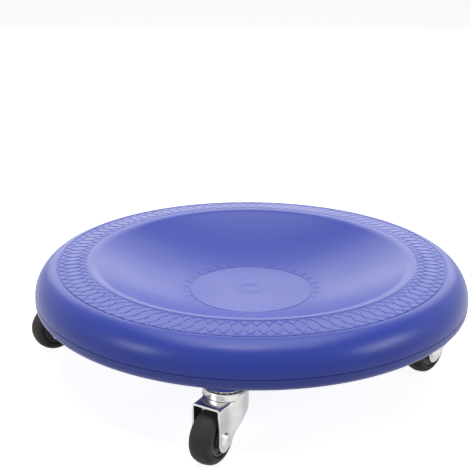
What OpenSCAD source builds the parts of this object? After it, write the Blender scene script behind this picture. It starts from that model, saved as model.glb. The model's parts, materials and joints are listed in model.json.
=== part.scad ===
// Round rolling disc for low work beside a vehicle: a dished two-shell body
// on four swivel casters with threaded stems.
// Millimetres, +Z up. The floor is z = 0 and the origin is on the disc's axis.

/* [Disc] */
// Diameter over the rim
disc_d = 290; // [270:1:320]
// Height of the body from its underside to the deck
shell_h = 29.5; // [27:0.5:34]
// Wall of the top shell
top_wall = 2.6; // [2:0.1:3]
// Wall of the base shell
base_wall = 2.4; // [2:0.1:3]
// Height of the parting line above the underside
seam_h = 10; // [9:0.5:12]
// Width of the open parting groove
seam_gap = 0.4; // [0.2:0.1:0.8]
// Width of the rounded rim outside the grip band
rim_w = 15.1; // [13:0.1:18]
// Fullness of the rim's curve, where 2 is an ellipse
rim_fullness = 1.85; // [1.6:0.05:2.2]
// Width of the turn from the side to the underside
turn_w = 11.8; // [9:0.1:14]
// Height of the turn from the side to the underside
turn_h = 7; // [5:0.1:7.5]

/* [Deck] */
// Diameter of the flat floor of the dish
dish_floor_d = 83.8; // [70:0.1:96]
// Width of the grip band
band_w = 20.3; // [16:0.1:24]
// Fall of the grip band towards the rim, in degrees
band_fall = 3; // [1:0.5:5]
// Width of the rounded lip between the dish and the grip band
lip_w = 6.6; // [5:0.1:9]
// Slope of the dish wall where it meets the lip, in degrees
lip_angle = 29; // [27:0.5:32]
// Width of the two moulded lines, round the dish floor and round the band
line_w = 0.8; // [0.4:0.1:1.2]
// Depth of the two moulded lines
line_depth = 0.4; // [0.2:0.1:0.6]

/* [Inside the disc] */
// Thickness of the skirt that centres the top shell in the base
skirt_w = 2; // [1.2:0.1:3]
// Number of ribs on the base plate
rib_count = 16; // [8:8:24]
// Thickness of a rib
rib_w = 1.8; // [1.2:0.1:2.4]
// Height of a rib above the base plate
rib_h = 5; // [3:0.5:7]
// Number of screws that hold the shells together
screw_count = 8; // [4:4:12]
// Shank diameter of a shell screw
screw_d = 3; // [2.5:0.1:3.5]
// Shank length of a shell screw
screw_len = 16; // [12:1:18]
// Head diameter of a shell screw
screw_head_d = 6.4; // [5.5:0.1:7.5]
// Head height of a shell screw
screw_head_h = 2.2; // [1.6:0.1:2.6]
// Height of a screw head's seat above the underside
screw_seat_h = 5; // [4:0.5:6]
// Height of the joint between a base boss and its post above the underside
boss_h = 12; // [10:0.5:14]
// Wall round a screw in its boss or post
boss_wall = 2.4; // [1.6:0.1:3]

/* [Caster mounting] */
// Distance from the rim in to a kingpin
caster_inset = 17.3; // [17:0.1:21]
// Turn of the square of casters about the disc's axis, in degrees
caster_turn = -96.1; // [-180:0.05:180]
// Diameter of the flat pad over a caster
pad_d = 27; // [25:0.5:30]
// Height of the pad inside the shell
pad_h = 3; // [2.6:0.1:4]
// Outer diameter of the threaded insert
insert_d = 12; // [11:0.1:13]
// Length of the threaded insert
insert_len = 14; // [11:0.5:16]
// Diameter of the insert's flange
insert_flange_d = 15; // [14:0.1:17]
// Thickness of the insert's flange
insert_flange_h = 1; // [0.8:0.1:1.4]
// Wall of the boss round the insert
insert_wall = 3; // [2:0.1:4]
// Thread diameter of the stem
stem_d = 8; // [6:0.1:9]
// Length of the stem above the underside
stem_len = 13; // [10:0.5:14]

/* [Wheels] */
// Diameter of a wheel over the tyre
wheel_d = 32; // [28:1:40]
// Width of a hub
hub_w = 14; // [12:0.5:18]
// Width of a tyre
tyre_w = 13.8; // [12:0.1:14.4]
// Thickness of a tyre's rubber
tyre_t = 5.9; // [5:0.1:6.4]
// Depth of the rounded tread from its crown to the tyre's sides
tread_h = 4; // [3:0.1:4.6]
// Fullness of the tread's curve, where 2 is an ellipse
tread_fullness = 2.2; // [1.8:0.1:3]
// Width of a hub over its rims
hub_rim_w = 12.8; // [11:0.1:13.4]
// Thickness of a hub's rim under the tyre
hub_rim_t = 1.8; // [1.5:0.1:2.5]
// Thickness of a hub's web
hub_web_t = 11; // [3:0.5:11]
// Diameter of a hub's boss
hub_boss_d = 11; // [9.5:0.5:13]
// Diameter of an axle rivet
axle_d = 4; // [3.5:0.1:5]
// Diameter of an axle rivet's head
axle_head_d = 8.6; // [7:0.1:10]
// Height of an axle rivet's head
axle_head_h = 2; // [1.4:0.1:2.6]
// Wall of a hub's sleeve bush
bush_wall = 1; // [0.7:0.1:1.4]

/* [Forks] */
// Distance from a kingpin back to its axle
trail = 14.8; // [13:0.1:18]
// Sheet thickness of a fork
sheet_t = 1.2; // [1:0.1:1.6]
// Space between a hub and each leg of its fork
side_gap = 0.8; // [0.6:0.1:1.2]
// Space over a wheel, under the top of its fork
wheel_clear = 3.6; // [2.5:0.1:6]
// Radius of the rounded end of a leg
leg_end_r = 6; // [5:0.1:7]
// Radius of the hollow sweep from a leg out to the round back
flare_r = 12; // [8:0.5:20]
// Depth of a leg's rounded end below its axle, past its own radius
leg_drop = 1.2; // [0:0.1:2]
// Height of a fork's closed back under its top
back_h = 6.2; // [5:0.1:8]
// Radius of the hollow rear edge of a leg
sweep_r = 24; // [20:0.5:30]

/* [Swivels] */
// Diameter of the lower raceway, and of a fork's round back
race_d = 26; // [25:0.1:28]
// Height of the lower raceway above the fork
race_h = 4.2; // [3.6:0.1:5]
// Thickness of the lower raceway's crown
crown_t = 2.4; // [2.2:0.1:2.8]
// Edge radius of both raceways
race_round = 0.9; // [0.5:0.1:1]
// Diameter of the upper race
upper_race_d = 24.8; // [24:0.1:26]
// Thickness of the upper race
upper_race_t = 1.1; // [1.1:0.1:1.8]
// Number of balls in a race
ball_count = 20; // [12:1:20]
// Diameter of a ball
ball_d = 2.5; // [2.4:0.05:2.7]
// Depth of the ball groove in the lower raceway
lower_seat = 1.1; // [0.9:0.05:1.2]
// Depth of the ball groove in the upper race
upper_seat = 0.4; // [0.3:0.05:0.5]
// Diameter of the circle that the balls run on
ball_ring_d = 19; // [18:0.1:19.4]
// Diameter of a kingpin
kingpin_d = 6; // [5:0.1:6.4]
// Diameter of the collar over a kingpin
collar_d = 11; // [9.5:0.1:12]
// Diameter of a kingpin's riveted head
kingpin_head_d = 9.2; // [8:0.1:10.5]
// Height of a kingpin's riveted head
kingpin_head_h = 1.8; // [1.4:0.1:2.2]
// Diameter of a thrust washer
washer_d = 12.4; // [11:0.1:14]
// Thickness of a thrust washer
washer_t = 0.8; // [0.6:0.1:1]

/* [Fits] */
// Radial clearance of everything that turns, and of pressed and screwed pieces
run_fit = 0.05; // [0.02:0.01:0.09]
// End play of a spacer, a thrust washer and the centring skirt
end_play = 0.1; // [0.05:0.01:0.15]

/* [Casters as they stand] */
// Heading of the front wheel, in degrees from +X
front_heading = -119.5; // [-180:0.5:180]
// Heading of the right wheel
right_heading = -135; // [-180:0.1:180]
// Heading of the back wheel
back_heading = -130; // [-180:0.5:180]
// Heading of the left wheel
left_heading = -142; // [-180:0.5:180]

/* [Hidden] */
$fn = 96;
corners = ["front", "right", "back", "left"];
headings = [front_heading, right_heading, back_heading, left_heading];
caster_pieces = [
    "stem_insert", "stem", "upper_race", "thrust_washer", "race_balls",
    "fork", "axle", "spacers", "hub", "bush", "tyre"
];
over = 1; // how far a cutting shape runs past the face that it opens

// The caster's stack of heights, from the floor up to the underside
wheel_r = wheel_d / 2;
fork_top_z = wheel_d + wheel_clear + sheet_t;
race_top_z = fork_top_z + race_h;
ball_z = race_top_z - lower_seat + ball_d / 2;
upper_race_z = ball_z + ball_d / 2 - upper_seat;
base_z = upper_race_z + upper_race_t;
washer_top_z = race_top_z - crown_t - end_play;

// The fork and the wheel
fork_in_w = hub_w + 2 * side_gap;
fork_w = fork_in_w + 2 * sheet_t;
race_r = race_d / 2;
back_z = fork_top_z - back_h;
bush_d = axle_d + 2 * (run_fit + bush_wall);
hub_d = wheel_d - 2 * tyre_t;
flare_u = sqrt(pow(race_r + flare_r, 2) - pow(fork_w / 2 + flare_r, 2));
flare_centre = [flare_u, fork_w / 2 + flare_r];

// The body's heights and radii
disc_r = disc_d / 2;
plate_z = base_z + base_wall;
dish_z = plate_z + top_wall;
deck_z = base_z + shell_h;
seam_z = base_z + seam_h;
turn_r = disc_r - turn_w;
turn_z = base_z + turn_h;
floor_r = dish_floor_d / 2;
band_out_r = disc_r - rim_w;
band_in_r = band_out_r - band_w;
band_mid_r = band_out_r - band_w / 2;
band_out_z = deck_z - band_w * tan(band_fall);
band_mid_z = (deck_z + band_out_z) / 2;
rim_h = band_out_z - seam_z;

// The lip is a convex arc, and the dish wall a concave arc that runs into it
lip_r = lip_w / (sin(lip_angle) + sin(band_fall));
lip_centre = [band_in_r - lip_r * sin(band_fall), deck_z - lip_r * cos(band_fall)];
wall_w = band_in_r - lip_w - floor_r;
wall_rise = lip_centre[1] + lip_r * cos(lip_angle) - dish_z;
foot_angle = 2 * atan2(wall_rise, wall_w) - lip_angle;
bowl_r = wall_w / (sin(lip_angle) - sin(foot_angle));
bowl_centre = [floor_r - bowl_r * sin(foot_angle), dish_z + bowl_r * cos(foot_angle)];
under_foot_angle = acos((bowl_centre[1] - plate_z) / (bowl_r + top_wall));

// The ribs start where they fit under the dish
rib_gap = 0.5;
rib_foot_angle = acos((bowl_centre[1] - plate_z - rib_h - rib_gap) / (bowl_r + top_wall));
rib_in_r = bowl_centre[0] + (bowl_r + top_wall) * sin(rib_foot_angle);

// The casters stand on this circle, and the screws under the grip band
caster_r = disc_r - caster_inset;
boss_top_z = base_z + boss_h;
screw_seat_z = base_z + screw_seat_h;
insert_room = 1; // space over the end of an insert
insert_boss_d = insert_d + 2 * insert_wall;

// ---- Shared shapes ----

// Points on an arc that starts at slope a0 and ends at slope a1;
// side is 1 for a hollow arc and -1 for a crest
function arc(centre, r, a0, a1, side, steps) = [
    for (i = [0 : steps])
        let (a = a0 + (a1 - a0) * i / steps)
            centre + r * side * [sin(a), -cos(a)]
];

// Quarter of a rounded form w wide and h high, from its top to its side;
// h is negative for one that turns down
function quarter(centre, w, h, fullness, steps) = [
    for (i = [0 : steps])
        let (a = 90 * i / steps)
            centre + [w * pow(sin(a), 2 / fullness), h * pow(cos(a), 2 / fullness)]
];

function reversed(list) = [for (i = [len(list) - 1 : -1 : 0]) list[i]];

// Rectangle from x = 0 to w and y = 0 to h, its outer top corner rounded by r
module edge_rounded(w, h, r) {
    square([w - r, h]);
    square([w, h - r]);
    intersection() {
        square([w, h]);
        translate([w - r, h - r]) circle(r);
    }
}

// Plain ring of height h round the Z axis
module ring(outer_r, inner_r, h) {
    difference() {
        cylinder(r = outer_r, h = h);
        translate([0, 0, -over]) cylinder(r = inner_r, h = h + 2 * over);
    }
}

// Domed rivet head of height h on the plane z = 0
module dome(d, h) {
    ball_r = (d * d / 4 + h * h) / (2 * h);
    intersection() {
        translate([0, 0, h - ball_r]) sphere(ball_r);
        cylinder(r = d, h = h + over);
    }
}

// Puts its children at screw i, standing on the underside
module at_screw(i) {
    rotate(caster_turn + 360 * (i + 0.5) / screw_count)
        translate([band_mid_r, 0, 0]) children();
}

// Puts its children at caster i, with +X along the way its wheel trails
module at_caster(i) {
    place = caster_turn + 90 * i;
    rotate(place) translate([caster_r, 0, 0]) rotate(headings[i] - place) children();
}

// Puts its children on the wheel's axle, with +Z along it
module on_axle() {
    translate([trail, 0, wheel_r]) rotate([90, 0, 0]) children();
}

// ---- The disc ----

// The dish, lip and rim of the top shell on one side or the other of its wall
function deck_line(wall, foot) = concat(
    arc(bowl_centre, bowl_r + wall, foot, lip_angle, 1, 16),
    arc(lip_centre, lip_r - wall, lip_angle, -band_fall, -1, 6),
    quarter([band_out_r, seam_z], rim_w - wall, rim_h - wall, rim_fullness, 16)
);

module top_shell() {
    skirt_out_r = disc_r - base_wall - end_play;
    skirt_z = turn_z + end_play;
    post_r = screw_d / 2 + boss_wall;
    post_h = band_mid_z - top_wall / 2 - boss_top_z;
    color("cornflowerblue") difference() {
        union() {
            rotate_extrude() {
                polygon(concat(
                    [[0, dish_z]],
                    deck_line(0, foot_angle),
                    reversed(deck_line(top_wall, under_foot_angle)),
                    [[0, plate_z]]
                ));
                translate([skirt_out_r - skirt_w, skirt_z])
                    square([skirt_w, seam_z + skirt_w - skirt_z]);
            }
            for (i = [0 : screw_count - 1])
                at_screw(i) translate([0, 0, boss_top_z]) cylinder(r = post_r, h = post_h);
        }
        for (i = [0 : screw_count - 1])
            at_screw(i) translate([0, 0, boss_top_z - over])
                cylinder(d = screw_d + 2 * run_fit, h = screw_seat_z + screw_len - boss_top_z + 2 * over);
        translate([0, 0, dish_z - line_depth])
            ring(floor_r + line_w / 2, floor_r - line_w / 2, 2 * line_depth);
        translate([0, 0, band_out_z - line_depth])
            ring(band_out_r + line_w / 2, band_out_r - line_w / 2, 2 * line_depth);
    }
}

module base_shell() {
    color("royalblue") difference() {
        union() {
            rotate_extrude() polygon(concat(
                [[0, base_z]],
                quarter([turn_r, turn_z], turn_w, -turn_h, 2, 10),
                [[disc_r, seam_z - seam_gap], [disc_r - base_wall, seam_z - seam_gap]],
                reversed(quarter([turn_r, turn_z], turn_w - base_wall, base_wall - turn_h, 2, 10)),
                [[0, plate_z]]
            ));
            for (i = [0 : rib_count - 1])
                rotate(caster_turn + 360 * (i + 0.5) / rib_count)
                    translate([rib_in_r, -rib_w / 2, plate_z - base_wall / 2])
                        cube([turn_r - rib_in_r, rib_w, base_wall / 2 + rib_h]);
            for (i = [0 : screw_count - 1])
                at_screw(i) translate([0, 0, base_z])
                    cylinder(r = screw_head_d / 2 + boss_wall, h = boss_h);
            for (i = [0 : len(corners) - 1]) at_caster(i) translate([0, 0, base_z]) {
                cylinder(d = pad_d, h = pad_h);
                cylinder(d = insert_boss_d, h = insert_len + insert_room + base_wall);
            }
        }
        for (i = [0 : screw_count - 1]) at_screw(i) translate([0, 0, base_z - over]) {
            cylinder(d = screw_d + 8 * run_fit, h = boss_h + 2 * over);
            cylinder(d = screw_head_d + 8 * run_fit, h = screw_seat_h + over);
        }
        for (i = [0 : len(corners) - 1]) at_caster(i) translate([0, 0, base_z - over]) {
            cylinder(d = insert_flange_d + 2 * run_fit, h = insert_flange_h + over);
            cylinder(d = insert_d + 2 * run_fit, h = insert_len + insert_room + over);
        }
    }
}

module shell_screws() {
    recess_w = screw_head_d / 7;
    color("dimgray") for (i = [0 : screw_count - 1])
        at_screw(i) translate([0, 0, screw_seat_z]) {
            cylinder(d = screw_d, h = screw_len);
            difference() {
                translate([0, 0, -screw_head_h]) cylinder(d = screw_head_d, h = screw_head_h);
                translate([0, 0, -screw_head_h]) for (turn = [0, 90])
                    rotate(turn) cube([screw_head_d * 0.6, recess_w, screw_head_h], center = true);
            }
        }
}

// ---- A caster's mounting and swivel ----

module stem_insert() {
    groove_h = insert_len / 7;
    color("goldenrod") translate([0, 0, base_z]) difference() {
        union() {
            cylinder(d = insert_d, h = insert_len);
            cylinder(d = insert_flange_d, h = insert_flange_h);
        }
        translate([0, 0, -over]) cylinder(d = stem_d + 2 * run_fit, h = insert_len + 2 * over);
        for (i = [2, 4]) translate([0, 0, i * groove_h])
            ring(insert_d, insert_d / 2 - 0.5, groove_h);
    }
}

// Threaded stem, collar and kingpin, in one piece
module stem() {
    collar_z = race_top_z + 3 * end_play;
    head_z = washer_top_z - washer_t;
    color("gainsboro") {
        translate([0, 0, upper_race_z]) cylinder(d = stem_d, h = base_z + stem_len - upper_race_z);
        translate([0, 0, collar_z]) cylinder(d = collar_d, h = upper_race_z - collar_z);
        translate([0, 0, head_z]) cylinder(d = kingpin_d, h = collar_z - head_z);
        translate([0, 0, head_z]) mirror([0, 0, 1]) dome(kingpin_head_d, kingpin_head_h);
    }
}

module ball_groove() {
    translate([ball_ring_d / 2, ball_z]) circle(ball_d / 2 + run_fit);
}

module upper_race() {
    color("lightgray") rotate_extrude() difference() {
        translate([0, base_z]) mirror([0, 1])
            edge_rounded(upper_race_d / 2, upper_race_t, race_round);
        translate([0, upper_race_z - over])
            square([stem_d / 2 + run_fit, upper_race_t + 2 * over]);
        ball_groove();
    }
}

module thrust_washer() {
    color("silver") translate([0, 0, washer_top_z - washer_t])
        ring(washer_d / 2, kingpin_d / 2 + run_fit, washer_t);
}

module race_balls() {
    color("white") for (i = [0 : ball_count - 1])
        rotate(360 * i / ball_count) translate([ball_ring_d / 2, 0, ball_z]) sphere(d = ball_d);
}

// ---- A caster's fork ----

// Plan of the fork's outside or, with an inset, its inside: a straight channel
// that sweeps out to the round back
module fork_plan(inset, front) {
    half_w = fork_w / 2 - inset;
    circle(race_r - inset);
    translate([0, -half_w]) square([front, 2 * half_w]);
    for (side = [0, 1]) mirror([0, side]) difference() {
        polygon([
            [0, 0],
            [flare_u, 0],
            [flare_u, half_w],
            flare_centre * (race_r - inset) / (race_r + flare_r)
        ]);
        translate(flare_centre) circle(flare_r + inset);
    }
}

// Side view of a leg: a round end under the axle, and a hollow rear edge
// that runs from it up into the fork's closed back
module leg_outline() {
    leg_end = [trail, wheel_r - leg_drop];
    blend = 0.1; // how far the rear edge runs into the round end
    rise = leg_end[1] + sweep_r - back_z;
    run = sqrt(pow(leg_end_r + sweep_r - blend, 2) - pow(rise, 2));
    sweep_centre = [trail - run, back_z - sweep_r];
    back_u = min(trail - run, -race_r) - over;
    translate(leg_end) circle(leg_end_r);
    polygon(concat(
        [
            leg_end,
            leg_end + [leg_end_r, 0],
            [trail + leg_end_r, fork_top_z],
            [back_u, fork_top_z],
            [back_u, back_z]
        ],
        arc(sweep_centre, sweep_r, 0, -atan2(run, rise), -1, 12)
    ));
}

module fork() {
    front = trail + leg_end_r;
    roof_z = fork_top_z - sheet_t;
    color("silver") difference() {
        union() {
            intersection() {
                difference() {
                    linear_extrude(fork_top_z) fork_plan(0, front);
                    linear_extrude(roof_z) fork_plan(sheet_t, front + over);
                }
                rotate([90, 0, 0]) linear_extrude(3 * fork_w, center = true) leg_outline();
            }
            rotate_extrude() difference() {
                translate([0, roof_z]) edge_rounded(race_r, race_h + sheet_t, race_round);
                ball_groove();
            }
        }
        cylinder(r = race_r - 1.5 * sheet_t, h = race_top_z - crown_t);
        cylinder(d = kingpin_d + 2 * run_fit, h = race_top_z + over);
        on_axle() cylinder(d = axle_d + 2 * run_fit, h = 2 * fork_w, center = true);
        // a flat seat for each rivet head, where it meets the sweep
        on_axle() for (side = [0, 1]) mirror([0, 0, side])
            translate([0, 0, fork_w / 2]) cylinder(d = axle_head_d + 4 * run_fit, h = fork_w);
    }
}

// ---- A caster's wheel ----

module axle() {
    color("gainsboro") on_axle() {
        cylinder(d = axle_d, h = fork_w, center = true);
        for (side = [0, 1]) mirror([0, 0, side])
            translate([0, 0, fork_w / 2]) dome(axle_head_d, axle_head_h);
    }
}

// One spacer on each side, between the hub and the leg
module spacers() {
    color("darkgray") on_axle() for (side = [0, 1]) mirror([0, 0, side])
        translate([0, 0, hub_w / 2 + end_play])
            ring(hub_boss_d / 2 - 1, axle_d / 2 + run_fit, side_gap - 2 * end_play);
}

module hub() {
    color("darkslategray") on_axle() difference() {
        union() {
            cylinder(d = hub_boss_d, h = hub_w, center = true);
            cylinder(d = hub_d, h = hub_web_t, center = true);
            translate([0, 0, -hub_rim_w / 2]) ring(hub_d / 2, hub_d / 2 - hub_rim_t, hub_rim_w);
        }
        cylinder(d = bush_d + 2 * run_fit, h = 2 * hub_w, center = true);
    }
}

module bush() {
    color("peru") on_axle() translate([0, 0, -hub_w / 2])
        ring(bush_d / 2, axle_d / 2 + run_fit, hub_w);
}

module tyre() {
    tread = quarter([wheel_r - tread_h, 0], tread_h, tyre_w / 2, tread_fullness, 12);
    color("black") on_axle() rotate_extrude() polygon(concat(
        [[hub_d / 2, tyre_w / 2]],
        tread,
        [for (i = [len(tread) - 2 : -1 : 0]) [tread[i][0], -tread[i][1]]],
        [[hub_d / 2, -tyre_w / 2]]
    ));
}

// ---- Drawing ----

top_shell();
base_shell();
shell_screws();
for (i = [0 : len(corners) - 1]) at_caster(i) {
    stem_insert();
    stem();
    upper_race();
    thrust_washer();
    race_balls();
    fork();
    axle();
    spacers();
    hub();
    bush();
    tyre();
}
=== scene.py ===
import json
from math import acos, asin, atan2, ceil, cos, degrees, hypot, pi, radians, sin, sqrt

import bmesh
import bpy
from mathutils import Matrix, Quaternion, Vector
from mathutils.bvhtree import BVHTree


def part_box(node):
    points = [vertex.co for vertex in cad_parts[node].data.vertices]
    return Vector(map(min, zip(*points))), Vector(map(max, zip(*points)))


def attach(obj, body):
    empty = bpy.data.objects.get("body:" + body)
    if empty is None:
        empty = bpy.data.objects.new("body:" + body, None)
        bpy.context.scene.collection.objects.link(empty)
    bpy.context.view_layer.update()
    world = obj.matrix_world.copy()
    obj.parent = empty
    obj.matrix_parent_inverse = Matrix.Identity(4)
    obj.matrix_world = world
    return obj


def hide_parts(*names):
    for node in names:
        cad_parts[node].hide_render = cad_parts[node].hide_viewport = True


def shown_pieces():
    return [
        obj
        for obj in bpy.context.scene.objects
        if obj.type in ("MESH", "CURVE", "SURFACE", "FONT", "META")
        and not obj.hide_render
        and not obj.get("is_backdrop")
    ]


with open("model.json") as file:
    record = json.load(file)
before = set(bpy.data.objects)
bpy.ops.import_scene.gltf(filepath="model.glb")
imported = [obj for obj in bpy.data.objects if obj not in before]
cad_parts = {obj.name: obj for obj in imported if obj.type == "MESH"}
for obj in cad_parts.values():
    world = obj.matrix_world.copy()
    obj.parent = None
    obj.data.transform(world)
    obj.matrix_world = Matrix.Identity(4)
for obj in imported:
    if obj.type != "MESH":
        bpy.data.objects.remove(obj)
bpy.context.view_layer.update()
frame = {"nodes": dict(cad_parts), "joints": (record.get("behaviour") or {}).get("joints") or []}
scene = bpy.context.scene
mm = 0.001
print("frame loaded")

# Camera; its numbers were settled against the image points given further down
camera = {
    "place": (0.0, -0.57553, 0.27780),
    "aim": (-0.01108, 0.0, 0.08652),
    "roll": 0.216,
    "lens": 68.84,
    "sensor": 36.0,
    "frame": 470,
}
cam = bpy.data.cameras.new("camera")
cam.lens, cam.sensor_width, cam.sensor_fit = camera["lens"], camera["sensor"], "AUTO"
camObject = bpy.data.objects.new("camera", cam)
scene.collection.objects.link(camObject)
lookAlong = (Vector(camera["aim"]) - Vector(camera["place"])).to_track_quat("-Z", "Y")
camTurn = lookAlong @ Quaternion((0, 0, 1), radians(camera["roll"]))
camObject.rotation_mode = "QUATERNION"
camObject.location, camObject.rotation_quaternion = camera["place"], camTurn
scene.camera = camObject
scene.view_settings.view_transform = "Standard"
print("camera set")


# Mesh helpers. Everything is in millimetres until a piece is finished.

sectorSteps = 24  # a long spin is slow, so at most about this many steps are spun at once


def spun(bm, line, steps, closed=True, share=1.0):
    # turns a line of (radius, height) round Z: one sector is spun, then doubled up to its share
    verts = [bm.verts.new((r, 0, z)) for r, z in line]
    pairs = list(zip(verts, verts[1:])) + ([(verts[-1], verts[0])] if closed else [])
    edges = [bm.edges.new(pair) for pair in pairs]
    whole = round(steps * share)
    part = whole
    while part % 2 == 0 and part > sectorSteps:
        part //= 2
    angle = 2 * pi * part / steps
    bmesh.ops.spin(bm, geom=verts + edges, cent=(0, 0, 0), axis=(0, 0, 1), angle=angle, steps=part)
    while part < whole:
        turn = Matrix.Rotation(2 * pi * part / steps, 3, "Z")
        copied = bmesh.ops.duplicate(bm, geom=bm.verts[:] + bm.edges[:] + bm.faces[:])["geom"]
        copiedVerts = [g for g in copied if isinstance(g, bmesh.types.BMVert)]
        bmesh.ops.rotate(bm, verts=copiedVerts, cent=(0, 0, 0), matrix=turn)
        part *= 2


def tidied(bm, gap=0.0005):
    # closes seams and poles, then points every face outwards
    bmesh.ops.remove_doubles(bm, verts=bm.verts, dist=gap)
    bmesh.ops.dissolve_degenerate(bm, edges=bm.edges, dist=gap / 5)
    bmesh.ops.recalc_face_normals(bm, faces=bm.faces)


def onObject(bm, name, material, sharpAbove=35, place=None):
    # bm becomes an object in metres; edges sharper than sharpAbove degrees stay crisp
    if place:
        bm.transform(place)
    bm.transform(Matrix.Scale(mm, 4))
    for face in bm.faces:
        face.smooth = True
    for edge in bm.edges:
        if len(edge.link_faces) == 2 and edge.calc_face_angle(0) > radians(sharpAbove):
            edge.smooth = False
    mesh = bpy.data.meshes.new(name)
    bm.to_mesh(mesh)
    bm.free()
    piece = bpy.data.objects.new(name, mesh)
    scene.collection.objects.link(piece)
    piece.data.materials.append(material)
    return piece


def fitted(piece, body, slot, *nodes):
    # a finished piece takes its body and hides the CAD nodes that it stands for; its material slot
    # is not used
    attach(piece, body)
    if nodes:
        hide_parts(*nodes)
    return piece


def arcLine(centre, radius, start, stop, steps, side):
    # from slope start to slope stop; side is 1 for a hollow arc and -1 for a crest
    turns = [radians(start + (stop - start) * i / steps) for i in range(steps + 1)]
    return [(centre[0] + radius * side * sin(a), centre[1] - radius * side * cos(a)) for a in turns]


def quarterTurns(steps):
    return [pi / 2 * i / steps for i in range(steps + 1)]


def fullLine(centre, wide, high, fullness, steps):
    # a quarter of a rounded form, from its top to its side; a fullness of 2 is an ellipse
    power = 2 / fullness
    return [
        (centre[0] + wide * max(sin(a), 0) ** power, centre[1] + high * max(cos(a), 0) ** power)
        for a in quarterTurns(steps)
    ]


def smoothStep(value, low, high):
    t = min(max((value - low) / (high - low), 0.0), 1.0)
    return t * t * (3 - 2 * t)


def wave(distance, halfWidth):
    # 1 on the line, falling smoothly to 0 at halfWidth from it
    return cos(pi / 2 * min(abs(distance) / halfWidth, 1.0)) ** 2


# Finishes. The two groups give the colour drift and the grain that every finish shares.

def socket(group, name, kind, way, value=None):
    made = group.interface.new_socket(name=name, in_out=way, socket_type=kind)
    if value is not None:
        made.default_value = value
    return made


def noiseNode(nodes, detail, roughness=0.5):
    made = nodes.new("ShaderNodeTexNoise")
    made.inputs["Detail"].default_value = detail
    made.inputs["Roughness"].default_value = roughness
    return made


def grainGroup():
    # fine moulded grain and a broad, faint mottle
    group = bpy.data.node_groups.new("mouldGrain", "ShaderNodeTree")
    socket(group, "Grain Scale", "NodeSocketFloat", "INPUT", 2500.0)
    socket(group, "Mottle Scale", "NodeSocketFloat", "INPUT", 18.0)
    socket(group, "Height", "NodeSocketFloat", "OUTPUT")
    socket(group, "Mottle", "NodeSocketFloat", "OUTPUT")
    nodes, links = group.nodes, group.links
    given, out = nodes.new("NodeGroupInput"), nodes.new("NodeGroupOutput")
    place = nodes.new("ShaderNodeTexCoord")
    fine, broad = noiseNode(nodes, 2), noiseNode(nodes, 3)
    for noise, name in ((fine, "Grain Scale"), (broad, "Mottle Scale")):
        links.new(place.outputs["Object"], noise.inputs["Vector"])
        links.new(given.outputs[name], noise.inputs["Scale"])
    links.new(fine.outputs["Fac"], out.inputs["Height"])
    links.new(broad.outputs["Fac"], out.inputs["Mottle"])
    return group


def driftGroup():
    # one colour breaking into another by a soft noise
    group = bpy.data.node_groups.new("colourDrift", "ShaderNodeTree")
    socket(group, "Main Colour", "NodeSocketColor", "INPUT", (0.5, 0.5, 0.5, 1))
    socket(group, "Drift Colour", "NodeSocketColor", "INPUT", (0.4, 0.4, 0.4, 1))
    socket(group, "Drift Scale", "NodeSocketFloat", "INPUT", 30.0)
    socket(group, "Drift Low", "NodeSocketFloat", "INPUT", 0.4)
    socket(group, "Drift High", "NodeSocketFloat", "INPUT", 0.8)
    socket(group, "Colour", "NodeSocketColor", "OUTPUT")
    socket(group, "Mask", "NodeSocketFloat", "OUTPUT")
    nodes, links = group.nodes, group.links
    given, out = nodes.new("NodeGroupInput"), nodes.new("NodeGroupOutput")
    place, noise = nodes.new("ShaderNodeTexCoord"), noiseNode(nodes, 4, 0.55)
    ranged, mix = nodes.new("ShaderNodeMapRange"), nodes.new("ShaderNodeMix")
    mix.data_type = "RGBA"
    links.new(place.outputs["Object"], noise.inputs["Vector"])
    links.new(given.outputs["Drift Scale"], noise.inputs["Scale"])
    links.new(noise.outputs["Fac"], ranged.inputs["Value"])
    links.new(given.outputs["Drift Low"], ranged.inputs["From Min"])
    links.new(given.outputs["Drift High"], ranged.inputs["From Max"])
    links.new(ranged.outputs["Result"], mix.inputs["Factor"])
    links.new(given.outputs["Main Colour"], mix.inputs["A"])
    links.new(given.outputs["Drift Colour"], mix.inputs["B"])
    links.new(mix.outputs["Result"], out.inputs["Colour"])
    links.new(ranged.outputs["Result"], out.inputs["Mask"])
    return group


mouldGrain, colourDrift = grainGroup(), driftGroup()


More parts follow.
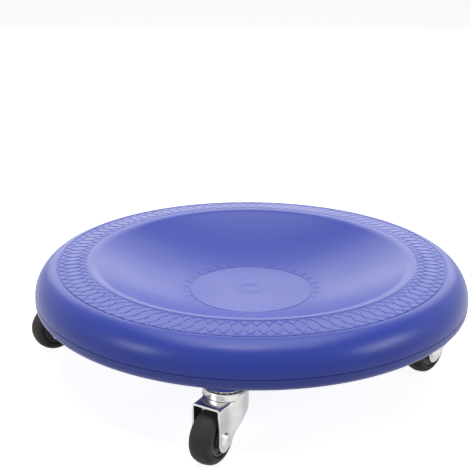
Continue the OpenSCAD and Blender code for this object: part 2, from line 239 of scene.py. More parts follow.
def finish(name, look):
    # a Principled surface whose colour drifts, whose gloss is uneven and whose skin is grained
    made = bpy.data.materials.new(name)
    made.use_nodes = True
    nodes, links = made.node_tree.nodes, made.node_tree.links
    shader = nodes["Principled BSDF"]
    shader.inputs["Metallic"].default_value = look.get("metal", 0.0)
    shader.inputs["IOR"].default_value = look.get("ior", 1.5)
    shader.inputs["Specular IOR Level"].default_value = look.get("specular", 0.5)
    drift, grain = nodes.new("ShaderNodeGroup"), nodes.new("ShaderNodeGroup")
    drift.node_tree, grain.node_tree = colourDrift, mouldGrain
    drift.inputs["Main Colour"].default_value = (*look["colour"], 1)
    drift.inputs["Drift Colour"].default_value = (*look["drift"], 1)
    drift.inputs["Drift Scale"].default_value = look["driftScale"]
    drift.inputs["Drift Low"].default_value, drift.inputs["Drift High"].default_value = look.get(
        "driftRange", (0.35, 0.75)
    )
    grain.inputs["Grain Scale"].default_value = look["grain"]
    grain.inputs["Mottle Scale"].default_value = look["mottle"]
    # the mottle, which mostly runs from 0.3 to 0.7, moves the roughness between its two values
    gloss = nodes.new("ShaderNodeMapRange")
    gloss.inputs["From Min"].default_value, gloss.inputs["From Max"].default_value = 0.3, 0.7
    gloss.inputs["To Min"].default_value, gloss.inputs["To Max"].default_value = look["roughness"]
    bump = nodes.new("ShaderNodeBump")
    bump.inputs["Strength"].default_value = look["bump"]
    bump.inputs["Distance"].default_value = look["bumpDepth"] * mm
    links.new(drift.outputs["Colour"], shader.inputs["Base Color"])
    links.new(grain.outputs["Mottle"], gloss.inputs["Value"])
    links.new(gloss.outputs["Result"], shader.inputs["Roughness"])
    links.new(grain.outputs["Height"], bump.inputs["Height"])
    links.new(bump.outputs["Normal"], shader.inputs["Normal"])
    return made


looks = {
    "satinBlue": {
        "colour": (0.022, 0.052, 0.440), "drift": (0.018, 0.046, 0.410), "driftScale": 12.0,
        "roughness": (0.29, 0.35), "grain": 1800.0, "mottle": 25.0,
        "bump": 0.12, "bumpDepth": 0.04, "ior": 1.48,
    },
    "satinBlueBase": {
        "colour": (0.024, 0.050, 0.390), "drift": (0.020, 0.043, 0.355), "driftScale": 14.0,
        "roughness": (0.32, 0.40), "grain": 1600.0, "mottle": 25.0,
        "bump": 0.15, "bumpDepth": 0.04, "ior": 1.48,
    },
    "brightPlate": {
        "colour": (0.73, 0.73, 0.71), "drift": (0.60, 0.60, 0.57), "driftScale": 90.0,
        "roughness": (0.17, 0.26), "grain": 900.0, "mottle": 160.0,
        "bump": 0.10, "bumpDepth": 0.03, "metal": 1.0,
    },
    "satinPlate": {
        "colour": (0.76, 0.76, 0.74), "drift": (0.62, 0.62, 0.60), "driftScale": 160.0,
        "roughness": (0.22, 0.34), "grain": 1400.0, "mottle": 220.0,
        "bump": 0.15, "bumpDepth": 0.03, "metal": 1.0,
    },
    "ballSteel": {
        "colour": (0.82, 0.82, 0.84), "drift": (0.74, 0.74, 0.77), "driftScale": 300.0,
        "roughness": (0.06, 0.12), "grain": 2500.0, "mottle": 300.0,
        "bump": 0.05, "bumpDepth": 0.01, "metal": 1.0,
    },
    "blackZinc": {
        "colour": (0.06, 0.06, 0.065), "drift": (0.11, 0.10, 0.09), "driftScale": 220.0,
        "roughness": (0.30, 0.45), "grain": 1500.0, "mottle": 200.0,
        "bump": 0.2, "bumpDepth": 0.03, "metal": 1.0,
    },
    "turnedBrass": {
        "colour": (0.60, 0.42, 0.16), "drift": (0.48, 0.31, 0.11), "driftScale": 150.0,
        "roughness": (0.20, 0.32), "grain": 1500.0, "mottle": 200.0,
        "bump": 0.15, "bumpDepth": 0.02, "metal": 1.0,
    },
    "sinteredBronze": {
        "colour": (0.42, 0.26, 0.12), "drift": (0.30, 0.18, 0.08), "driftScale": 260.0,
        "roughness": (0.38, 0.52), "grain": 3000.0, "mottle": 300.0,
        "bump": 0.4, "bumpDepth": 0.04, "metal": 1.0,
    },
    "blackNylon": {
        "colour": (0.030, 0.030, 0.032), "drift": (0.045, 0.044, 0.043), "driftScale": 120.0,
        "roughness": (0.38, 0.50), "grain": 2200.0, "mottle": 150.0,
        "bump": 0.2, "bumpDepth": 0.03,
    },
    "hubNylon": {
        "colour": (0.042, 0.044, 0.040), "drift": (0.062, 0.062, 0.056), "driftScale": 110.0,
        "roughness": (0.34, 0.46), "grain": 2000.0, "mottle": 140.0,
        "bump": 0.2, "bumpDepth": 0.03, "specular": 0.4,
    },
    "tyreRubber": {
        "colour": (0.040, 0.039, 0.036), "drift": (0.076, 0.066, 0.057), "driftScale": 70.0,
        "driftRange": (0.45, 0.85), "roughness": (0.50, 0.64), "grain": 1300.0, "mottle": 120.0,
        "bump": 0.35, "bumpDepth": 0.06, "specular": 0.22,
    },
}
finishes = {name: finish(name, look) for name, look in looks.items()}

# Which finish each CAD node takes, those that a piece stands for included
carriedFinish = {
    "shell_screws": "blackZinc",
    "stem_insert": "turnedBrass",
    "stem": "satinPlate",
    "thrust_washer": "satinPlate",
    "race_balls": "ballSteel",
    "spacers": "blackNylon",
    "bush": "sinteredBronze",
    "base_shell": "satinBlueBase",
    "top_shell": "satinBlue",
    "upper_race": "brightPlate",
    "fork": "brightPlate",
    "axle": "satinPlate",
    "hub": "hubNylon",
    "tyre": "tyreRubber",
}
corners = ("front", "right", "back", "left")
for nodeName, nodeObject in frame["nodes"].items():
    kind = nodeName.split("_", 1)[1] if nodeName.split("_")[0] in corners else nodeName
    nodeObject.data.materials.clear()
    nodeObject.data.materials.append(finishes[carriedFinish[kind]])
print("finishes made")


# The top shell: dish, lip, bed of the grip band and rim. Heights are from the floor, radii from Z.

shellLow, shellHigh = (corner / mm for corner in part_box("base_shell"))
baseZ, discRadius = shellLow.z, shellHigh.x
topShell = {
    "wall": 2.6,
    "floorZ": baseZ + 5.0,
    "deckZ": baseZ + 29.5,
    "seamZ": baseZ + 10.0,
    "floorRadius": 41.9,
    "bandOuter": discRadius - 15.1,
    "bandInner": discRadius - 35.4,
    "bandFall": 3.0,  # degrees
    "lipWidth": 6.6,
    "lipSlope": 29.0,  # degrees, where the dish wall meets the lip
    "rimWidth": 15.1,
    "rimFullness": 1.85,
    "bandBed": 0.6,
    "lineWidth": 0.8,
    "lineDepth": 0.3,
    "middleRings": (5.6, 8.4),
    "ringWidth": 0.7,
    "ringHeight": 0.14,
    "tickCount": 32,
    "tickReach": (42.6, 47.4),
    "tickWidth": 1.1,
    "tickDepth": 0.32,
    "tickFade": (0.8, 1.2),  # along each end
    "tongue": 0.34,  # how far the shell's edge reaches into the parting groove
    "floorRows": (0.0, 2.0, 3.8, 12.0, 18.0, 24.0, 30.0, 35.0, 38.0, 40.0, 40.8),
    "fineRowsTo": 49.0,
    "bowlSteps": 120,
    "bowlSkip": 7,
    "lipSteps": 12,
    "rimSteps": 44,
    "steps": 544,
}
ts = topShell
bandSlope = radians(ts["bandFall"])
bandWide = ts["bandOuter"] - ts["bandInner"]
bandOuterZ = ts["deckZ"] - bandWide * sin(bandSlope) / cos(bandSlope)
lipRadius = ts["lipWidth"] / (sin(radians(ts["lipSlope"])) + sin(bandSlope))
lipCentre = (ts["bandInner"] - lipRadius * sin(bandSlope), ts["deckZ"] - lipRadius * cos(bandSlope))
bowlWide = ts["bandInner"] - ts["lipWidth"] - ts["floorRadius"]
bowlRise = lipCentre[1] + lipRadius * cos(radians(ts["lipSlope"])) - ts["floorZ"]
footSlope = 2 * degrees(atan2(bowlRise, bowlWide)) - ts["lipSlope"]
bowlRadius = bowlWide / (sin(radians(ts["lipSlope"])) - sin(radians(footSlope)))
bowlCentre = (
    ts["floorRadius"] - bowlRadius * sin(radians(footSlope)),
    ts["floorZ"] + bowlRadius * cos(radians(footSlope)),
)


def bandTop(radius):
    # height of the grip band's plain surface
    return ts["deckZ"] - (radius - ts["bandInner"]) * sin(bandSlope) / cos(bandSlope)


def buildTopShell():
    bed, half = ts["bandBed"], ts["lineWidth"] / 2
    inner, outer = ts["bandInner"], ts["bandOuter"]
    # the dish's floor, with close rows at the two rings and at the line round it
    floorRows = list(ts["floorRows"]) + [ts["floorRadius"] - 0.1 * k for k in range(1, 8)]
    for ring in ts["middleRings"]:
        floorRows += [ring + ts["ringWidth"] * k / 4 for k in range(-4, 5)]
    line = [(r, ts["floorZ"]) for r in sorted(set(round(r, 3) for r in floorRows))]
    bowlSteps, lipSlope = ts["bowlSteps"], ts["lipSlope"]
    turnAt = [footSlope + (lipSlope - footSlope) * (i / bowlSteps) for i in range(bowlSteps + 1)]
    bowl = [
        (bowlCentre[0] + bowlRadius * sin(radians(a)), bowlCentre[1] - bowlRadius * cos(radians(a)))
        for a in turnAt
    ]
    # fine rows at the foot, where the ticks are, and broad ones up the wall
    line += [
        p for i, p in enumerate(bowl)
        if p[0] < ts["fineRowsTo"] or i % ts["bowlSkip"] == 0 or i == bowlSteps
    ]
    line += arcLine(lipCentre, lipRadius, lipSlope, -ts["bandFall"], ts["lipSteps"], -1)[1:]
    # the lip rolls over, and drops to the bed on which the grip band lies
    top = bandTop(inner)
    line += [(inner + 0.2, top - 0.06), (inner + 0.6, top - 0.14), (inner + 0.7, top - bed)]
    # the moulded line round the band
    top = bandTop(outer)
    line += [(outer - half - 0.05, top - bed), (outer - half - 0.02, top - 0.35)]
    line += [(outer - half * 0.4, top - 0.42), (outer + half * 0.4, top - 0.36)]
    seat, rimHigh = (outer, ts["seamZ"]), bandOuterZ - ts["seamZ"]
    rim = fullLine(seat, ts["rimWidth"], rimHigh, ts["rimFullness"], ts["rimSteps"])
    line.append((outer + half * 0.9, bandOuterZ - 0.06))
    line += [p for p in rim if p[0] > outer + half * 1.2]
    # the rim's lower edge is rounded, and a small tongue fills the back of the parting groove
    edge, edgeZ = line.pop()
    line += [(edge - 0.01, edgeZ + 0.35), (edge - 0.06, edgeZ + 0.12), (edge - 0.16, edgeZ + 0.02)]
    line += [(edge - 0.22, edgeZ - ts["tongue"]), (edge - 1.4, edgeZ - ts["tongue"])]
    line.append((edge - 1.5, edgeZ))
    # the hidden inner side, back to the axis
    wall = ts["wall"]
    insideHigh = bandOuterZ - wall - ts["seamZ"]
    line += fullLine(seat, ts["rimWidth"] - wall, insideHigh, ts["rimFullness"], 9)[::-1]
    line += arcLine(lipCentre, lipRadius - wall, lipSlope, -ts["bandFall"], 3, -1)[::-1]
    underFoot = degrees(acos((bowlCentre[1] - ts["floorZ"] + wall) / (bowlRadius + wall)))
    line += arcLine(bowlCentre, bowlRadius + wall, underFoot, lipSlope, 6, 1)[::-1][1:]
    line += [(0.0, ts["floorZ"] - wall)]

    bm = bmesh.new()
    spun(bm, line, ts["steps"], closed=False)
    tidied(bm)
    # the dish's marks: two raised rings in the middle, a cut line round the floor, then ticks
    middleRings, tickTurn = ts["middleRings"], 2 * pi / ts["tickCount"]
    (low, high), (fadeIn, fadeOut) = ts["tickReach"], ts["tickFade"]
    for vert in bm.verts:
        radius = hypot(vert.co.x, vert.co.y)
        onTop = vert.co.z > ts["floorZ"] - 0.01
        if not onTop or radius > high + 1:
            continue
        cut = -ts["ringHeight"] * max(wave(radius - ring, ts["ringWidth"]) for ring in middleRings)
        cut += ts["lineDepth"] * wave(radius - ts["floorRadius"], half * 1.25)
        turn = atan2(vert.co.y, vert.co.x) / tickTurn
        across = abs(turn - round(turn)) * tickTurn * radius
        along = smoothStep(radius, low, low + fadeIn)
        along *= 1 - smoothStep(radius, high - fadeOut, high)
        cut += ts["tickDepth"] * along * wave(across, ts["tickWidth"])
        vert.co.z -= cut
    return onObject(bm, "dish_and_rim", finishes["satinBlue"], 50)


dishAndRim = fitted(buildTopShell(), "disc", "top_shell_plastic", "top_shell")
print("top shell made,", len(dishAndRim.data.polygons), "faces")


# The grip band: overlapping ovals cut into a band that lies in the top shell

gripBand = {
    "ovalCount": 106,
    "stepsEach": 32,
    "rows": 44,
    "ovalMiddle": discRadius - 24.4,
    "ovalWide": 21.6,
    "ovalHigh": 20.8,
    "ovalFullness": 1.75,  # 2 is an ellipse, and less has more pointed ends
    "cutHalfWidth": 0.55,
    "cutDepth": 0.36,
    "edgeRound": 0.12,
}


def ovalCut(along, radius):
    # depth of the cut at a place along the band, in pitches, and at a radius
    gb = gripBand
    full, halfWide, halfHigh = gb["ovalFullness"], gb["ovalWide"] / 2, gb["ovalHigh"] / 2
    pitch = 2 * pi / gb["ovalCount"] * radius
    deepest = 0.0
    reach = ceil(halfWide / pitch) + 1
    for k in range(-reach, reach + 2):
        x = abs(along - k) * pitch / halfWide
        y = abs(radius - gb["ovalMiddle"]) / halfHigh
        size = (x ** full + y ** full) ** (1 / full)
        if size < 1e-6:
            continue
        # (size - 1) over its slope is about the distance from the oval's line
        steep = hypot((x / size) ** (full - 1) / halfWide, (y / size) ** (full - 1) / halfHigh)
        deepest = max(deepest, wave((size - 1) / steep, gb["cutHalfWidth"]))
    return gb["cutDepth"] * deepest


def buildGripHalf(name, startTurn):
    # the band is two half rings, so that each stays light enough for its fine lines
    gb = gripBand
    inner, outer = ts["bandInner"] + 0.15, ts["bandOuter"] - ts["lineWidth"] / 2
    steps, rows, soft = gb["ovalCount"] * gb["stepsEach"], gb["rows"], gb["edgeRound"]
    innerZ, outerZ, bed = bandTop(inner), bandTop(outer), ts["bandBed"]
    radii = [inner + (outer - inner) * i / rows for i in range(rows + 1)]
    top = [(radius, bandTop(radius)) for radius in radii]
    top[0], top[-1] = (inner + 0.05, innerZ - 0.02), (outer - 0.05, outerZ - 0.03)
    # its foot stands just clear of the bed, and its two edges are rounded
    line = [(inner + 0.03, innerZ - bed + 0.02), (inner, innerZ - soft)] + top
    line += [(outer, outerZ - soft), (outer - 0.03, outerZ - bed + 0.02)]
    bm = bmesh.new()
    spun(bm, line, steps, share=0.5)
    bmesh.ops.rotate(bm, verts=bm.verts, cent=(0, 0, 0), matrix=Matrix.Rotation(startTurn, 3, "Z"))
    tidied(bm)
    # the two cut ends are closed
    bmesh.ops.holes_fill(bm, edges=[edge for edge in bm.edges if edge.is_boundary], sides=0)
    bmesh.ops.recalc_face_normals(bm, faces=bm.faces)
    # the pattern repeats, so each depth is worked out once
    known = {}
    for vert in bm.verts:
        radius = hypot(vert.co.x, vert.co.y)
        if vert.co.z < bandTop(radius) - soft / 2:
            continue
        column = atan2(vert.co.y, vert.co.x) / (2 * pi) * steps
        place = (round(column) % gb["stepsEach"], round(radius, 2))
        if place not in known:
            known[place] = ovalCut(place[0] / gb["stepsEach"] + 0.5, radius)
        vert.co.z -= known[place]
    return onObject(bm, name, finishes["satinBlue"], 60)


gripHalves = [
    fitted(buildGripHalf(name, turn), "disc", "top_shell_plastic")
    for name, turn in (("grip_band_back", 0.0), ("grip_band_front", pi))
]
print("grip band made,", sum(len(half.data.polygons) for half in gripHalves), "faces")


# The base shell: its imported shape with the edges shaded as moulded

def copiedNode(nodeName, name, material, sharpAbove):
    # a CAD node's loose triangles already face outwards, so they are only joined
    bm = bmesh.new()
    bm.from_mesh(frame["nodes"][nodeName].data)
    bm.transform(Matrix.Scale(1 / mm, 4))
    bmesh.ops.remove_doubles(bm, verts=bm.verts, dist=0.0005)
    bmesh.ops.dissolve_degenerate(bm, edges=bm.edges, dist=0.0001)
    return onObject(bm, name, material, sharpAbove)


lowerShell = copiedNode("base_shell", "base_pan", finishes["satinBlueBase"], 25)
fitted(lowerShell, "disc", "base_shell_plastic", "base_shell")
print("base shell made,", len(lowerShell.data.polygons), "faces")


# Casters. Each is made with its kingpin on Z and +X along the way its wheel trails.

caster = {
    "trail": 14.8,
    "wheelRadius": 16.0,
    "topZ": baseZ - 6.3,
    "raceTopZ": baseZ - 2.1,
    "upperRaceZ": baseZ - 1.1,
    "ballSeat": 1.1,
    "ballRadius": 1.25,
    "trackRadius": 9.5,
    "trackGroove": 1.3,
}
ballZ = caster["raceTopZ"] - caster["ballSeat"] + caster["ballRadius"]
forkLook = {
    "halfWidth": 9.0,
    "sheet": 1.2,
    "backRadius": 12.98,
    "flareRadius": 12.0,
    "legEnd": 6.0,
    "legDrop": 1.2,
    "backHeight": 6.2,
    "sweep": 24.0,
    "frontBend": 1.9,
    "backBend": 0.5,
    "lipZ": baseZ - 2.9,  # the round back stands up to here, and rises between these two places
    "lipFrom": 8.5,
    "lipTo": 4.5,
    "endColumns": 16,
    "flareColumns": 14,
    "backColumns": 24,
    "frontColumns": 15,
    "wallRows": 7,
    "bendRows": 5,
    "cupInner": 11.9,
    "edgeRound": 0.22,
}


def forkOutline():
    # half of the plan as (u, v, outward u, outward v), from the front corner to mid-back
    f = forkLook
    flareV = f["halfWidth"] + f["flareRadius"]
    flareU = sqrt((f["backRadius"] + f["flareRadius"]) ** 2 - flareV ** 2)
    turnEnd = acos((flareU - caster["trail"]) / f["legEnd"])
    steps = f["endColumns"]
    turns = [turnEnd * i / steps for i in range(steps + 1)]
    line = [(caster["trail"] + f["legEnd"] * cos(a), f["halfWidth"], 0.0, 1.0) for a in turns]
    # the legs flare out round a circle outside them, then run round the back
    steps = f["flareColumns"]
    for a in (atan2(flareU, flareV) * i / steps for i in range(1, steps + 1)):
        line.append(
            (flareU - f["flareRadius"] * sin(a), flareV - f["flareRadius"] * cos(a), sin(a), cos(a))
        )
    start, steps = atan2(line[-1][1], line[-1][0]), f["backColumns"]
    for a in (start + (pi - start) * i / steps for i in range(1, steps + 1)):
        line.append((f["backRadius"] * cos(a), f["backRadius"] * sin(a), cos(a), sin(a)))
    return line


def legFoot(u):
    # height of the sheet's lower edge: round at the leg's end, then one sweep up to the back
    f = forkLook
    endU, endZ = caster["trail"], caster["wheelRadius"] - f["legDrop"]
    sweepZ = caster["topZ"] - f["backHeight"] - f["sweep"]
    rise = endZ - sweepZ
    run = sqrt((f["legEnd"] + f["sweep"]) ** 2 - rise ** 2)
    share = f["legEnd"] / (f["legEnd"] + f["sweep"])
    if u > endU - run * share:
        return endZ - sqrt(max(f["legEnd"] ** 2 - (u - endU) ** 2, 0))
    return sweepZ + sqrt(max(f["sweep"] ** 2 - (u - endU + run) ** 2, 0))


def buildForkSheet():
    # one row of edges is pulled out of the cup's foot, over the bend and down the walls
    f = forkLook
    half = forkOutline()
    path = half + [(u, -v, nu, -nv) for u, v, nu, nv in half[-2::-1]]
    front = half[0][0]
    count = f["frontColumns"]
    acrossFront = [
        -(f["halfWidth"] - f["frontBend"]) * (1 - 2 * (i + 1) / (count + 1)) for i in range(count)
    ]
    columns = len(path) + count

    def topOf(column):
        if column >= len(path):
            return caster["topZ"], f["frontBend"]
        lift = 1 - smoothStep(path[column][0], f["lipTo"], f["lipFrom"])
        return (
            caster["topZ"] + (f["lipZ"] - caster["topZ"]) * lift,
            f["frontBend"] + (f["backBend"] - f["frontBend"]) * lift,
        )

    def placeOf(column, row):
        # row 0 lies inside the cup, 1 at the start of the bend, then down the bend and the wall
        top, bend = topOf(column)
        if column >= len(path):
            bendLine = Vector((front, acrossFront[column - len(path)], 0))
            u, v, nu, nv = *bendLine.xy, 0, 0
        else:
            u, v, nu, nv = path[column]
            bendLine = Vector((u - nu * bend, v - nv * bend, 0))
        if row == 0:
            inside = min(f["cupInner"], bendLine.length - 0.4)
            return bendLine.normalized() * inside + Vector((0, 0, top))
        turn = pi / 2 * min(row - 1, f["bendRows"]) / f["bendRows"]
        inset = bend * (1 - sin(turn))
        z = top - bend * (1 - cos(turn))
        if row > 1 + f["bendRows"]:
            z += (legFoot(u) - z) * (row - 1 - f["bendRows"]) / f["wallRows"]
        return Vector((u - nu * inset, v - nv * inset, z))

    bm = bmesh.new()
    mark = bm.verts.layers.int.new("column")
    bmesh.ops.create_circle(bm, cap_ends=False, radius=f["cupInner"], segments=columns)
    bm.verts.ensure_lookup_table()
    for i, vert in enumerate(bm.verts):
        vert[mark] = i
        vert.co = placeOf(i, 0)
    loose = list(bm.edges)
    for row in range(1, 2 + f["bendRows"] + f["wallRows"]):
        made = bmesh.ops.extrude_edge_only(bm, edges=loose)["geom"]
        for vert in (g for g in made if isinstance(g, bmesh.types.BMVert)):
            vert.co = placeOf(vert[mark], row)
        # the open front has no wall, so only the edges along the path go on
        loose = [
            g for g in made
            if isinstance(g, bmesh.types.BMEdge) and len(g.link_faces) == 1
            and all(v in made for v in g.verts) and max(v[mark] for v in g.verts) < len(path)
            and abs(g.verts[0][mark] - g.verts[1][mark]) == 1
        ]
    tidied(bm)
    return bm


def buildFork(name, place):
    bm = buildForkSheet()
    piece = onObject(bm, name, finishes["brightPlate"], 60, place)
    thick = piece.modifiers.new("sheet", "SOLIDIFY")
    thick.thickness, thick.offset, thick.use_even_offset = forkLook["sheet"] * mm, -1, True
    edge = piece.modifiers.new("edges", "BEVEL")
    edge.limit_method, edge.angle_limit = "ANGLE", radians(55)
    edge.width, edge.segments = forkLook["edgeRound"] * mm, 2
    return piece


def ballTrack(faceZ, side):
    # the groove that a race's face holds the balls in: side is -1 below them and 1 above
    radius, groove = caster["trackRadius"], caster["trackGroove"]
    start = asin(side * (faceZ - ballZ) / groove)
    turns = [start + (pi - 2 * start) * i / 10 for i in range(11)]
    return [(radius + groove * cos(a), ballZ + side * groove * sin(a)) for a in turns]


def turned(line, steps, name, look, sharpAbove, place, closed=True):
    # a whole turned piece from its line
    bm = bmesh.new()
    spun(bm, line, steps, closed)
    tidied(bm)
    return onObject(bm, name, finishes[look], sharpAbove, place)


cupLook = {
    "radius": 12.5, "footFillet": 0.4, "topRound": 0.9, "hole": 3.1, "crown": 2.4, "wall": 1.3,
    "steps": 120,
}


def buildCup(name, place):
    c, top, foot = cupLook, caster["raceTopZ"], caster["topZ"]
    r, soft, fillet = c["radius"], c["topRound"], c["footFillet"]
    line = [(r + fillet, foot - 0.3), (r + fillet, foot)]
    line += [(r + fillet * (1 - sin(a)), foot + fillet * (1 - cos(a))) for a in (0.4, 0.8, 1.2)]
    line += [(r, foot + fillet), (r, (foot + top) / 2)]
    line += [(r - soft * (1 - cos(a)), top - soft * (1 - sin(a))) for a in quarterTurns(6)]
    line += ballTrack(top, -1)
    line += [(c["hole"] + 0.3, top), (c["hole"], top - 0.3), (c["hole"], top - c["crown"])]
    line += [(r - c["wall"], top - c["crown"]), (r - c["wall"], foot - 0.3)]
    return turned(line, c["steps"], name, "brightPlate", 50, place)


raceLook = {"radius": 12.4, "bore": 4.05, "lowerRound": 0.45, "steps": 120}


def buildRace(name, place):
    low, high, r, soft = caster["upperRaceZ"], baseZ, raceLook["radius"], raceLook["lowerRound"]
    line = [(raceLook["bore"], high), (r - 0.1, high), (r, high - 0.15)]
    line += [(r - soft * (1 - cos(a)), low + soft * (1 - sin(a))) for a in quarterTurns(5)]
    line += ballTrack(low, 1) + [(raceLook["bore"], low)]
    return turned(line, raceLook["steps"], name, "brightPlate", 50, place)


tyreLook = {
    "halfWidth": 6.9, "treadHigh": 4.0, "fullness": 2.2, "boreRadius": 10.1, "beadRadius": 10.9,
    "beadGroove": 1.9, "partingLine": 0.12, "shoulderAt": 5.4, "shoulderStep": 0.16, "steps": 120,
}


def buildTyre(name, place):
    t, outer = tyreLook, caster["wheelRadius"]
    wide, bore, bead = t["halfWidth"], t["boreRadius"], t["beadRadius"]
    # from the bore out over the bead, then round the tread to the parting line in its middle
    line = [(bore, wide - t["beadGroove"]), (bore + 0.45, wide - t["beadGroove"])]
    line += [(bead - 0.25, wide - 0.35), (bead, wide - 0.1), (bead + 0.35, wide - 0.02)]
    tread = fullLine((outer - t["treadHigh"], 0), t["treadHigh"], wide, t["fullness"], 26)[:-1]
    drop = [t["partingLine"] + (t["shoulderStep"] if v > t["shoulderAt"] else 0) for r, v in tread]
    line += [(r - d, v) for (r, v), d in zip(tread, drop)]
    line += [(outer - t["partingLine"], 0.32), (outer, 0.16)]
    line += [(r, -v) for r, v in reversed(line)]
    return turned(line, t["steps"], name, "tyreRubber", 55, place)


hubLook = {
    "rimFace": 6.4, "webFace": 5.55, "rimInner": 8.3, "bossRadius": 5.5, "bossFace": 7.0,
    "bore": 3.1, "steps": 96,
}


def buildHub(name, place):
    h, rim = hubLook, tyreLook["boreRadius"] - 0.02
    rimIn, boss, bore = h["rimInner"], h["bossRadius"], h["bore"]
    rimFace, webFace, bossFace = h["rimFace"], h["webFace"], h["bossFace"]
    # rim, web and boss, each edge broken and each corner filled
    line = [(rim, rimFace - 0.35), (rim - 0.1, rimFace - 0.1), (rim - 0.35, rimFace)]
    line += [(rimIn + 0.3, rimFace), (rimIn + 0.08, rimFace - 0.1)]
    line += [(rimIn, webFace + 0.3), (rimIn - 0.1, webFace + 0.08), (rimIn - 0.4, webFace)]
    line += [(boss + 0.4, webFace), (boss + 0.1, webFace + 0.1), (boss, webFace + 0.4)]
    line += [(boss, bossFace - 0.25), (boss - 0.25, bossFace)]
    line += [(bore + 0.2, bossFace), (bore, bossFace - 0.2)]
    line += [(r, -v) for r, v in reversed(line)]
    return turned(line, h["steps"], name, "hubNylon", 50, place)


rivetLook = {
    "headRadius": 4.3, "headHeight": 2.0, "flange": 0.45, "shank": 2.0, "face": 9.0, "steps": 64,
}


def buildRivet(name, place):
    look, face, head = rivetLook, rivetLook["face"], rivetLook["headRadius"]
    flangeZ, dome = face + look["flange"], look["headHeight"] - look["flange"]
    # from the middle of the dome out to the flange, then in to the shank
    line = [(0.0, face + look["headHeight"])]
    domeTurns = quarterTurns(14)[1:-1]
    line += [((head - 0.25) * sin(a), flangeZ + dome * cos(a) ** 0.8) for a in domeTurns]
    line += [(head - 0.12, flangeZ), (head, flangeZ - 0.15)]
    line += [(head, face + 0.05), (head - 0.05, face), (look["shank"], face)]
    line += [(r, -v) for r, v in reversed(line)]
    return turned(line, look["steps"], name, "satinPlate", 50, place, closed=False)


joints = {joint["name"]: joint for joint in frame["joints"]}
atWheel = Matrix.Translation((caster["trail"], 0, caster["wheelRadius"]))
onAxle = atWheel @ Matrix.Rotation(pi / 2, 4, "X")
for corner in corners:
    pin = Vector(joints[f"{corner}_swivel_turn"]["pos_m"]) / mm
    axle = Vector(joints[f"{corner}_wheel_roll"]["pos_m"]) / mm
    heading = atan2(axle.y - pin.y, axle.x - pin.x)
    place = Matrix.Translation((pin.x, pin.y, 0)) @ Matrix.Rotation(heading, 4, "Z")
    wheelPlace = place @ onAxle
    swivel, wheel = f"{corner}_swivel", f"{corner}_wheel"
    fitted(buildFork(f"{corner}_fork_sheet", place), swivel, "fork_zinc", f"{corner}_fork")
    fitted(buildCup(f"{corner}_fork_cup", place), swivel, "fork_zinc", f"{corner}_fork")
    fitted(buildRace(f"{corner}_race_ring", place), "disc", "race_steel", f"{corner}_upper_race")
    fitted(buildRivet(f"{corner}_axle_rivet", wheelPlace), swivel, "rivet_steel", f"{corner}_axle")
    fitted(buildTyre(f"{corner}_tread_ring", wheelPlace), wheel, "tyre_rubber", f"{corner}_tyre")
    fitted(buildHub(f"{corner}_wheel_centre", wheelPlace), wheel, "hub_plastic", f"{corner}_hub")
print("casters made")


# Floor, backdrop light and lamps

studio = {
    "floorColour": (0.54, 0.54, 0.55),
    "floorSeen": 0.90,  # what the floor gives off to the camera,
    "floorMirrored": 0.66,  # and to glossy rays
    "worldColour": (0.98, 0.99, 1),
    "worldLight": 0.07,
}


def floorFinish():
    # the floor takes shadows, yet is seen nearly white
    made = bpy.data.materials.new("paleFloor")
    made.use_nodes = True
    nodes, links = made.node_tree.nodes, made.node_tree.links
    shader = nodes["Principled BSDF"]
    shader.inputs["Roughness"].default_value = 0.9
    shader.inputs["Specular IOR Level"].default_value = 0.0
    shader.inputs["Base Color"].default_value = (*studio["floorColour"], 1)
    shader.inputs["Emission Color"].default_value = (1, 1, 1, 1)
    path = nodes.new("ShaderNodeLightPath")
    seenLift, mirrorLift = nodes.new("ShaderNodeMath"), nodes.new("ShaderNodeMath")
    seenLift.operation, mirrorLift.operation = "MULTIPLY", "MULTIPLY_ADD"
    seenLift.inputs[1].default_value = studio["floorSeen"]
    mirrorLift.inputs[1].default_value = studio["floorMirrored"]
    links.new(path.outputs["Is Camera Ray"], seenLift.inputs[0])
    links.new(path.outputs["Is Glossy Ray"], mirrorLift.inputs[0])
    links.new(seenLift.outputs["Value"], mirrorLift.inputs[2])
    links.new(mirrorLift.outputs["Value"], shader.inputs["Emission Strength"])
    return made


bm = bmesh.new()
bmesh.ops.create_grid(bm, x_segments=1, y_segments=1, size=6000)
floorPlane = onObject(bm, "floor", floorFinish())
floorPlane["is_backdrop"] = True

# The world is plain white where it is seen or mirrored, and lights the rest only a little
world = bpy.data.worlds.new("studio")
scene.world = world
world.use_nodes = True
nodes, links = world.node_tree.nodes, world.node_tree.links
nodes.clear()
output, mixed = nodes.new("ShaderNodeOutputWorld"), nodes.new("ShaderNodeMixShader")
seen, lighting = nodes.new("ShaderNodeBackground"), nodes.new("ShaderNodeBackground")
seen.inputs["Color"].default_value, seen.inputs["Strength"].default_value = (1, 1, 1, 1), 1.0
lighting.inputs["Color"].default_value = (*studio["worldColour"], 1)
lighting.inputs["Strength"].default_value = studio["worldLight"]
path = nodes.new("ShaderNodeLightPath")
sums = [nodes.new("ShaderNodeMath") for _ in range(2)]
for node in sums:
    node.operation, node.use_clamp = "ADD", True
links.new(path.outputs["Is Camera Ray"], sums[0].inputs[0])
links.new(path.outputs["Is Glossy Ray"], sums[0].inputs[1])
links.new(sums[0].outputs["Value"], sums[1].inputs[0])
links.new(path.outputs["Is Transmission Ray"], sums[1].inputs[1])
links.new(sums[1].outputs["Value"], mixed.inputs["Fac"])
links.new(lighting.outputs["Background"], mixed.inputs[1])
links.new(seen.outputs["Background"], mixed.inputs[2])
links.new(mixed.outputs["Shader"], output.inputs["Surface"])

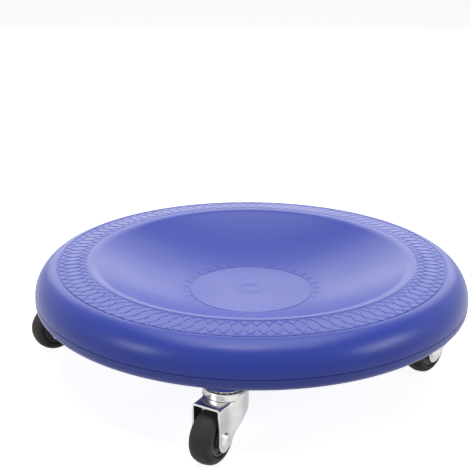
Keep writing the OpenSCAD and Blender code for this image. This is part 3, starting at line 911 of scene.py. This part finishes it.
lamps = {
    "overhead": {
        "place": (0.0, 0.05, 1.4), "aim": (0, 0, 0.06), "size": (1.2, 1.2), "power": 12.8,
    },
    "aboveFront": {
        "place": (-0.09, -0.37, 1.24), "aim": (0, -0.13, 0.06), "size": (0.25, 0.25), "power": 1.7,
    },
    "frontLeft": {
        "place": (-1.0, -0.64, 0.62), "aim": (-0.06, -0.12, 0.06), "size": (0.4, 0.3), "power": 2.0,
    },
    "frontRight": {
        "place": (1.10, -0.42, 0.60), "aim": (0.08, -0.11, 0.06), "size": (0.6, 0.3), "power": 3.0,
    },
    "backPanel": {
        "place": (0.0, 1.9, 1.0), "aim": (0, 0, 0.06), "size": (3.0, 1.4), "power": 19.5,
    },
}
for name, lamp in lamps.items():
    light = bpy.data.lights.new(name, "AREA")
    light.shape, light.energy = "RECTANGLE", lamp["power"]
    light.size, light.size_y = lamp["size"]
    lightObject = bpy.data.objects.new(name, light)
    lightObject.location = lamp["place"]
    towards = Vector(lamp["aim"]) - Vector(lamp["place"])
    lightObject.rotation_mode = "QUATERNION"
    lightObject.rotation_quaternion = towards.to_track_quat("-Z", "Y")
    scene.collection.objects.link(lightObject)
print("floor and lamps set")


# Image points: where the photograph shows each thing, in its 470 px frame

imagePoints = {
    "objectLeft": (30.8, None),
    "objectBottom": (None, 465.7),
    "discLeft": (35.8, None),
    "discRight": (468.9, None),
    "discTop": (None, 201.7),
    "discFrontEdge": (None, 390.6),
    "bandLineFront": (252.0, 336.8),
    "bandLineLeft": (56.3, None),
    "bandLineRight": (448.7, None),
    "dishLineFront": (None, 312.0),
    "dishLineBack": (None, 266.6),
    "dishLineLeft": (191.0, None),
    "dishLineRight": (314.0, None),
    "seamFront": (246.6, 380.0),
    "seamLeft": (170.0, 373.3),
    "seamRight": (388.3, 364.2),
    "forkCornerNear": (219.5, 411.5),
    "forkCornerFar": (192.0, 404.0),
    "legTip": (220.0, 454.0),
    "rivetHead": (227.0, 441.0),
}
scene.view_layers[0].update()
long = camera["frame"]
turnIn = camTurn.to_matrix()
eye = Vector(camera["place"])


def onImage(place):
    # where a place in metres shows, in the photograph's pixels
    seenAt = turnIn.transposed() @ (Vector(place) - eye)
    size = long * camera["lens"] / camera["sensor"] / -seenAt.z
    return (
        long / 2 + seenAt.x * size - cam.shift_x * long,
        long / 2 - seenAt.y * size + cam.shift_y * long,
    )


depsgraph = bpy.context.evaluated_depsgraph_get()
shown = {piece.name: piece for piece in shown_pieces()}
trees = {name: BVHTree.FromObject(piece, depsgraph) for name, piece in shown.items()}


def castThrough(x, y, carrier):
    # the place on a carrier where a ray through an image point meets it, or comes nearest
    ray = Vector((
        x - long / 2 + cam.shift_x * long, long / 2 - y + cam.shift_y * long,
        -long * camera["lens"] / camera["sensor"],
    ))
    ray = (turnIn @ ray).normalized()
    hit = trees[carrier].ray_cast(eye, ray)[0]
    if hit:
        return hit
    # the object lies from 0.35 to 0.80 m along the ray
    tries = [trees[carrier].find_nearest(eye + ray * (0.35 + 0.005 * i)) for i in range(90)]
    return min((t for t in tries if t[0]), key=lambda t: t[3])[0]


def finishedPlaces(name):
    # a piece's corners in metres, with its modifiers applied
    mesh = shown[name].evaluated_get(depsgraph).to_mesh()
    places = [shown[name].matrix_world @ v.co for v in mesh.vertices]
    shown[name].evaluated_get(depsgraph).to_mesh_clear()
    return places


def isSeen(place):
    # whether nothing stands between a place and the camera
    away = eye - place
    start = place + away.normalized() * 0.0004
    return not any(tree.ray_cast(start, away.normalized())[0] for tree in trees.values())


def ringPlace(radius, height, angle):
    return Vector((radius * cos(angle) * mm, radius * sin(angle) * mm, height * mm))


discPixels = [onImage(p) for name in ("dish_and_rim", "base_pan") for p in finishedPlaces(name)]
max(onImage(p)[1] for p in finishedPlaces("front_tread_ring"))
min(onImage(p)[0] for p in finishedPlaces("left_tread_ring"))

rings = {
    "bandLine": (ts["bandOuter"], bandOuterZ),
    "dishLine": (ts["floorRadius"], ts["floorZ"]),
    "seam": (discRadius, ts["seamZ"]),
}
for ringName, (radius, height) in rings.items():
    ringPixels = [onImage(ringPlace(radius, height, 2 * pi * i / 1440)) for i in range(1440)]
    ends = {
        "Left": min(ringPixels), "Right": max(ringPixels),
        "Front": max(ringPixels, key=lambda p: p[1]), "Back": min(ringPixels, key=lambda p: p[1]),
    }
    for end, pixel in ends.items():
        pointName = ringName + end
        if pointName not in imagePoints:
            continue
        wantX, wantY = imagePoints[pointName]
        if wantX is not None and wantY is not None:
            # a point part of the way round is met where the ring passes nearest to it
            near = castThrough(wantX, wantY, "base_pan" if ringName == "seam" else "dish_and_rim")
            pixel = onImage(ringPlace(radius, height, atan2(near.y, near.x)))

sheetSeen = [p for p in finishedPlaces("front_fork_sheet") if isSeen(p)]
headPixels = [onImage(p) for p in finishedPlaces("front_axle_rivet") if isSeen(p)]
